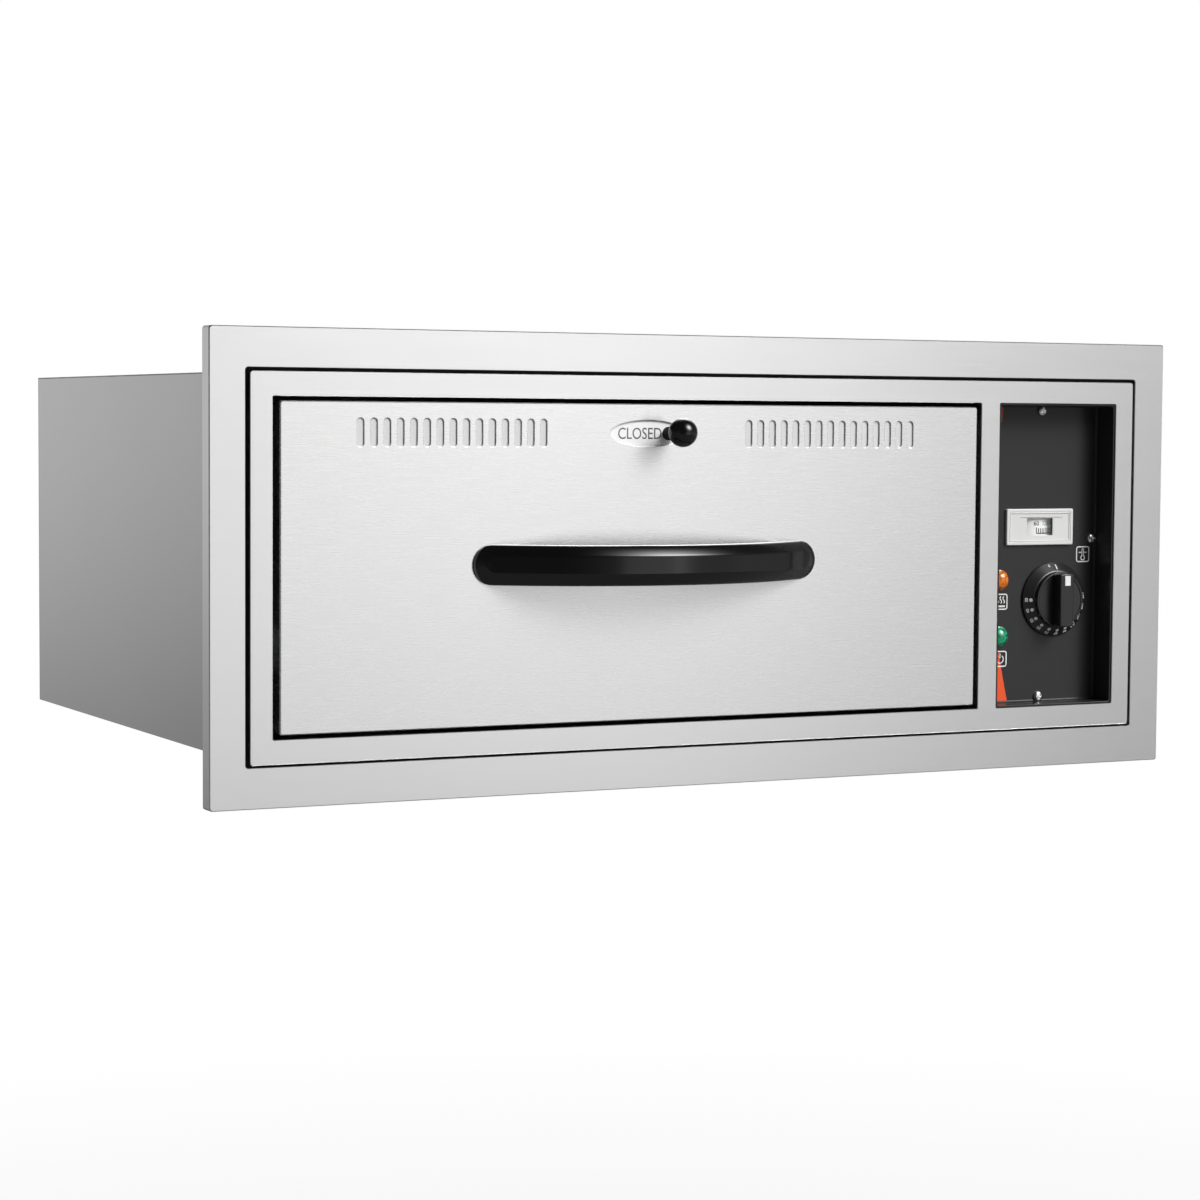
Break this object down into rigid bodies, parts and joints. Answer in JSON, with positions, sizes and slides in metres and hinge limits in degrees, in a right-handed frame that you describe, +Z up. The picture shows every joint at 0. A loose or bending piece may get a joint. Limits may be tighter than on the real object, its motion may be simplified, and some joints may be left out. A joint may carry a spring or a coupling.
{
  "type": "warming drawer",
  "caption": "Built-in warming drawer: a food pan on a roller drawer with a bow handle and a sliding vent, beside a recessed panel with a thermostat knob, a thermometer and lamps.",
  "frame": {"origin": "middle of the width, on the underside of the casing, in the plane where the trim bears on the cabinet", "axes": "+X to the right seen from the front, +Y into the cabinet, +Z up"},
  "size_m": [0.76, 0.5645, 0.316],
  "materials": {
    "stainless_steel": "horizontal brushed grain",
    "galvanised_steel": "galvanised, matt",
    "zinc_plated_screws": "zinc plated",
    "bright_screws": "bright",
    "mineral_wool": "compressed glass wool",
    "heater_sheath": "oxidised steel sheath",
    "steatite": "unglazed",
    "black_gloss_panel": "smooth gloss",
    "black_phenolic": "moulded, polished",
    "black_stem": "turned",
    "black_foam": "closed-cell foam",
    "black_nylon": "moulded",
    "white_bezel": "moulded",
    "clear_window": "clear acrylic",
    "scale_white": "printed",
    "amber_lens": "translucent amber",
    "green_lens": "translucent green",
    "beige_phenolic": "moulded",
    "copper": "drawn copper tube",
    "wire_insulation": "silicone-covered wire",
    "white_nylon": "turned nylon",
    "white_label": "printed label"
  },
  "bodies": {
    "cabinet": {"trim_flange": "stainless_steel", "groove_seal": "black_foam", "trim_brackets": "galvanised_steel", "trim_screws": "zinc_plated_screws", "front_frame": "stainless_steel", "casing_shell": "stainless_steel", "top_cover": "galvanised_steel", "rear_cover": "galvanised_steel", "cover_screws": "zinc_plated_screws", "liner": "galvanised_steel", "insulation_top": "mineral_wool", "insulation_bottom": "mineral_wool", "insulation_left": "mineral_wool", "insulation_right": "mineral_wool", "insulation_rear": "mineral_wool", "partition": "galvanised_steel", "heater_element": "heater_sheath", "heater_clips": "galvanised_steel", "heater_bushes": "steatite", "control_panel": "black_gloss_panel", "control_screws": "bright_screws", "thermometer_bezel": "white_bezel", "thermometer_window": "clear_window", "thermometer_mask": "scale_white", "thermometer_case": "black_nylon", "lamp_lens_orange": "amber_lens", "lamp_lens_green": "green_lens", "lamp_bodies": "black_nylon", "thermostat_body": "beige_phenolic", "thermostat_nut": "zinc_plated_screws", "capillary_bulb": "copper", "bulb_clips": "galvanised_steel", "terminal_block": "steatite", "wiring": "wire_insulation", "cord_gland": "black_nylon", "gland_nut": "black_nylon", "cabinet_rail_left": "galvanised_steel", "cabinet_rail_right": "galvanised_steel"},
    "drawer": {"drawer_front": "stainless_steel", "drawer_inner": "galvanised_steel", "front_insulation": "mineral_wool", "vent_guides": "galvanised_steel", "handle": "black_phenolic", "handle_screws": "zinc_plated_screws", "drawer_side_left": "galvanised_steel", "drawer_side_right": "galvanised_steel", "drawer_rear_bar": "galvanised_steel", "food_pan": "stainless_steel"},
    "vent": {"vent_shutter": "stainless_steel", "vent_label": "white_label", "vent_stem": "black_stem", "vent_knob": "black_phenolic"},
    "thermostat": {"thermostat_knob": "black_phenolic", "thermostat_shaft": "stainless_steel"},
    "thermometer": {"thermometer_drum": "scale_white"},
    "front_roller_left": {"roller_front_left": "white_nylon"},
    "front_roller_right": {"roller_front_right": "white_nylon"},
    "rear_roller_left": {"roller_rear_left": "white_nylon"},
    "rear_roller_right": {"roller_rear_right": "white_nylon"}
  },
  "joints": [
    {"name": "drawer_slide", "type": "slide", "parent": "cabinet", "child": "drawer", "axis": [0, -1, 0], "range_m": [0, 0.375]},
    {"name": "vent_slide", "type": "slide", "parent": "drawer", "child": "vent", "axis": [-1, 0, 0], "range_m": [0, 0.03353]},
    {"name": "thermostat_turn", "type": "hinge", "parent": "cabinet", "child": "thermostat", "pos_m": [0.296, 0, 0.0946], "axis": [0, 1, 0], "range_deg": [0, 270]},
    {"name": "thermometer_turn", "type": "hinge", "parent": "cabinet", "child": "thermometer", "pos_m": [0.2822, 0.0294, 0.1494], "axis": [0, 0, -1], "range_deg": [0, 150], "stiffness_Nm_per_rad": 0.0005},
    {"name": "front_left_turn", "type": "hinge", "parent": "cabinet", "child": "front_roller_left", "pos_m": [-0.32872, 0.0303, 0.0765], "axis": [1, 0, 0], "continuous": true},
    {"name": "front_right_turn", "type": "hinge", "parent": "cabinet", "child": "front_roller_right", "pos_m": [0.20822, 0.0303, 0.0765], "axis": [1, 0, 0], "continuous": true},
    {"name": "rear_left_turn", "type": "hinge", "parent": "drawer", "child": "rear_roller_left", "pos_m": [-0.32872, 0.4353, 0.074], "axis": [1, 0, 0], "continuous": true},
    {"name": "rear_right_turn", "type": "hinge", "parent": "drawer", "child": "rear_roller_right", "pos_m": [0.20822, 0.4353, 0.074], "axis": [1, 0, 0], "continuous": true}
  ],
  "couplings": [
    {"joint": "front_left_turn", "follows": "drawer_slide", "rad_per_m": 83.333},
    {"joint": "front_right_turn", "follows": "drawer_slide", "rad_per_m": 83.333},
    {"joint": "rear_left_turn", "follows": "drawer_slide", "rad_per_m": 83.333},
    {"joint": "rear_right_turn", "follows": "drawer_slide", "rad_per_m": 83.333}
  ]
}
